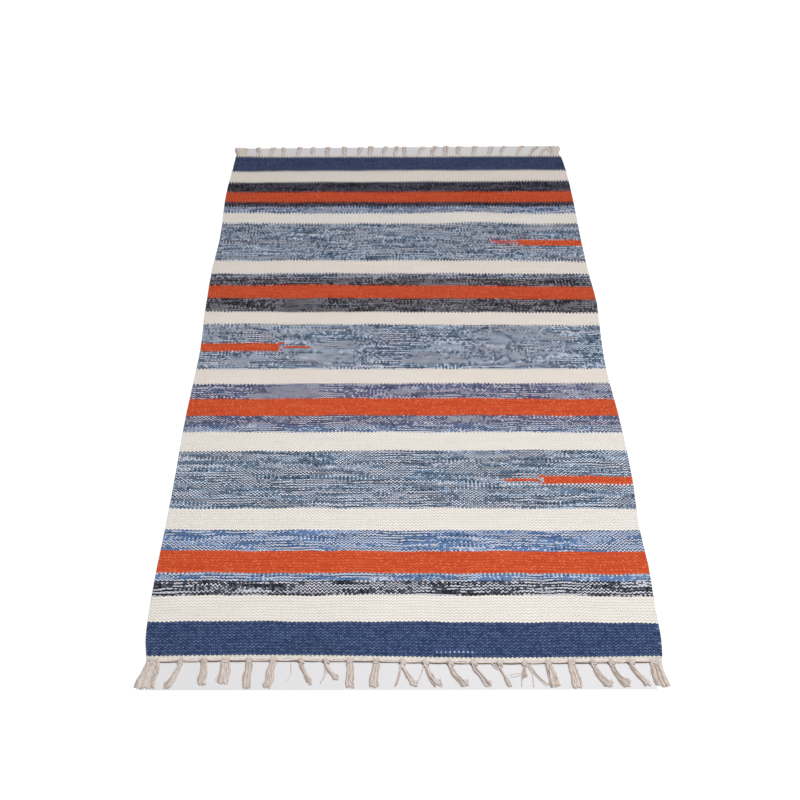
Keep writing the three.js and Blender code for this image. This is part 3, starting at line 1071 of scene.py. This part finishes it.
FLOOR_SIZE = 40
FLOOR_WHITE = (240, 239, 240)
FLOOR_GREY = (229, 228, 230)  # of the slivers of real floor that the photograph keeps
SLIVER_WIDTH = 0.424  # to either side
NEAR_SLIVER, NEAR_SLIVER_HALF = -0.777, 0.032
FAR_SLIVER_FROM, FAR_SLIVER_TO, FAR_SLIVER_SLANT = 0.745, 0.8035, 0.019
LIFT_NEAR, LIFT_FAR = 0.17, 0.8  # light of its own for the camera, so that the floor shows white
LIFT_CENTRE = (0, -0.9, 0)
LIFT_REACH = 4.0  # metres from that centre to where the lift is full
AMBIENT = 0.225
Lamp = namedtuple("Lamp", "name place aim size power")
LAMPS = [
    Lamp("ceiling", (0, -0.2, 4.0), (0, -0.2, 0), 5.0, 41),
    Lamp("softbox", (0.5, -0.9, 2.6), (0.1, -0.5, 0), 1.6, 49),
]


def floor_slivers(w, x, y):
    """1 in the band of floor between the tassels at either end, and 0 elsewhere."""
    near_band = w.math("COMPARE", y, NEAR_SLIVER, NEAR_SLIVER_HALF)
    far_line = w.times_plus(x, FAR_SLIVER_SLANT, FAR_SLIVER_TO)
    far_band = w.math("GREATER_THAN", y, FAR_SLIVER_FROM)
    far_band = w.times(far_band, w.math("LESS_THAN", y, far_line))
    in_width = w.math("LESS_THAN", w.math("ABSOLUTE", x), SLIVER_WIDTH)
    return w.times(w.plus(near_band, far_band), in_width)


def white_floor():
    """White to the camera, but for the slivers between the tassels, and keeping the shadows."""
    w = Wiring("white_floor")
    place = w.node("ShaderNodeNewGeometry")
    split = w.node("ShaderNodeSeparateXYZ", {0: place}).node
    seen = floor_slivers(w, split.outputs[0], split.outputs[1])
    ends = {0: place, 1: LIFT_CENTRE}
    away = w.node("ShaderNodeVectorMath", ends, output=1, operation="DISTANCE")
    lift = w.range(away, 0.0, LIFT_REACH, LIFT_NEAR, LIFT_FAR)
    lift = w.times(lift, w.minus(1.0, seen))
    is_camera_ray = w.node("ShaderNodeLightPath")
    lift = w.times(lift, is_camera_ray)
    return w.surface({
        "Base Color": w.mix(seen, linear(FLOOR_WHITE), linear(FLOOR_GREY)),
        "Emission Color": (1, 1, 1, 1),
        "Emission Strength": lift,
        "Roughness": 1.0,
        "Specular IOR Level": 0.0,
    })


def build_floor():
    half = FLOOR_SIZE / 2
    corners = [(-half, -half, 0), (half, -half, 0), (half, half, 0), (-half, half, 0)]
    mesh = bpy.data.meshes.new("floor")
    mesh.from_pydata(corners, [], [(0, 1, 2, 3)])
    mesh.materials.append(white_floor())
    floor = bpy.data.objects.new("floor", mesh)
    bpy.context.scene.collection.objects.link(floor)


def build_world():
    world = bpy.data.worlds.new("white_room")
    bpy.context.scene.world = world
    world.use_nodes = True
    tree = world.node_tree
    background = tree.nodes["Background"]
    background.inputs["Color"].default_value = (1, 1, 1, 1)
    rays = tree.nodes.new("ShaderNodeLightPath")
    strength = tree.nodes.new("ShaderNodeMapRange")
    strength.inputs["To Min"].default_value = AMBIENT
    strength.inputs["To Max"].default_value = 1.0
    tree.links.new(rays.outputs["Is Camera Ray"], strength.inputs["Value"])
    tree.links.new(strength.outputs[0], background.inputs["Strength"])


def build_lamp(row):
    light = bpy.data.lights.new(row.name, "AREA")
    light.shape = "SQUARE"
    light.size = row.size
    light.energy = row.power
    lamp = bpy.data.objects.new(row.name, light)
    lamp.location = row.place
    aim = Vector(row.aim) - Vector(row.place)
    lamp.rotation_euler = aim.to_track_quat("-Z", "Y").to_euler()
    bpy.context.scene.collection.objects.link(lamp)


def build_camera():
    data = bpy.data.cameras.new("camera")
    data.lens = CAMERA_LENS
    data.sensor_width = CAMERA_SENSOR
    camera = bpy.data.objects.new("camera", data)
    turn = (
        Matrix.Rotation(-CAMERA_YAW, 4, "Z")
        @ Matrix.Rotation(math.pi / 2 - CAMERA_PITCH, 4, "X")
        @ Matrix.Rotation(CAMERA_ROLL, 4, "Z")
    )
    camera.matrix_world = Matrix.Translation(CAMERA_AT) @ turn
    bpy.context.scene.collection.objects.link(camera)
    bpy.context.scene.camera = camera
    bpy.context.scene.view_settings.view_transform = "Standard"


# ---------------- assembly


def finished(piece, slot, *nodes):
    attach(piece, "root")
    if nodes:
        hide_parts(*nodes)
    return piece


def build_fringe(end, name, material):
    """The band along the last pick and the tassels beyond it, as two pieces."""
    band = Yarns()
    heading(end, band)
    edge_cord(end, band)
    gathered_warps(end, band)
    painted_crease_shadows(end, band)
    tails = Yarns()
    tassels(end, tails)
    stray_yarns(end, tails)
    return [
        finished(band.object(name + "_cord", material), "raw_cotton", name + "_fringe"),
        finished(tails.object(name + "_tassels", material), "raw_cotton", name + "_fringe"),
    ]


def build_thread(material):
    yarns = Yarns()
    yarns.add(curve_through(STRAY_THREAD, 5), STRAY_THREAD_RADIUS, STRAY_THREAD_TONE, ply=0)
    return finished(yarns.object("stray_thread", material), "raw_cotton")


def build_rug():
    loom = Loom(cad_outline())
    cloth = finished(woven_cloth(loom, woven_cotton(loom)), "dyed_cotton", "woven_field")
    yarn = raw_cotton()
    near = End(
        outline=loom.near_end, side=-1, corners=(-435, 439), tassels=NEAR_TASSELS,
        strays=NEAR_STRAYS, cord_tone=0.15, tones=(0.15, 1), chance=random.Random(11),
    )
    far = End(
        outline=loom.far_end, side=1, corners=(-444, 436), tassels=FAR_TASSELS,
        strays=FAR_STRAYS, cord_tone=0.05, tones=(0.03, 0.3), chance=random.Random(12),
    )
    fringes = build_fringe(near, "near", yarn)
    fringes += build_fringe(far, "far", yarn)
    loose = fringes + [build_thread(yarn)]


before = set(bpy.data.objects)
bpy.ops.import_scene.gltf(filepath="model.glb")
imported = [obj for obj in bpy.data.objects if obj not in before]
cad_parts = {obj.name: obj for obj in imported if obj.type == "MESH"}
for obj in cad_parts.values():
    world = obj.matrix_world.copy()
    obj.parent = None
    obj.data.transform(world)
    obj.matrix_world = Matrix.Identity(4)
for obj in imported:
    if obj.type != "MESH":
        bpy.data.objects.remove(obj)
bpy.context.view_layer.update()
build_camera()
build_world()
for lamp_row in LAMPS:
    build_lamp(lamp_row)
build_floor()
build_rug()
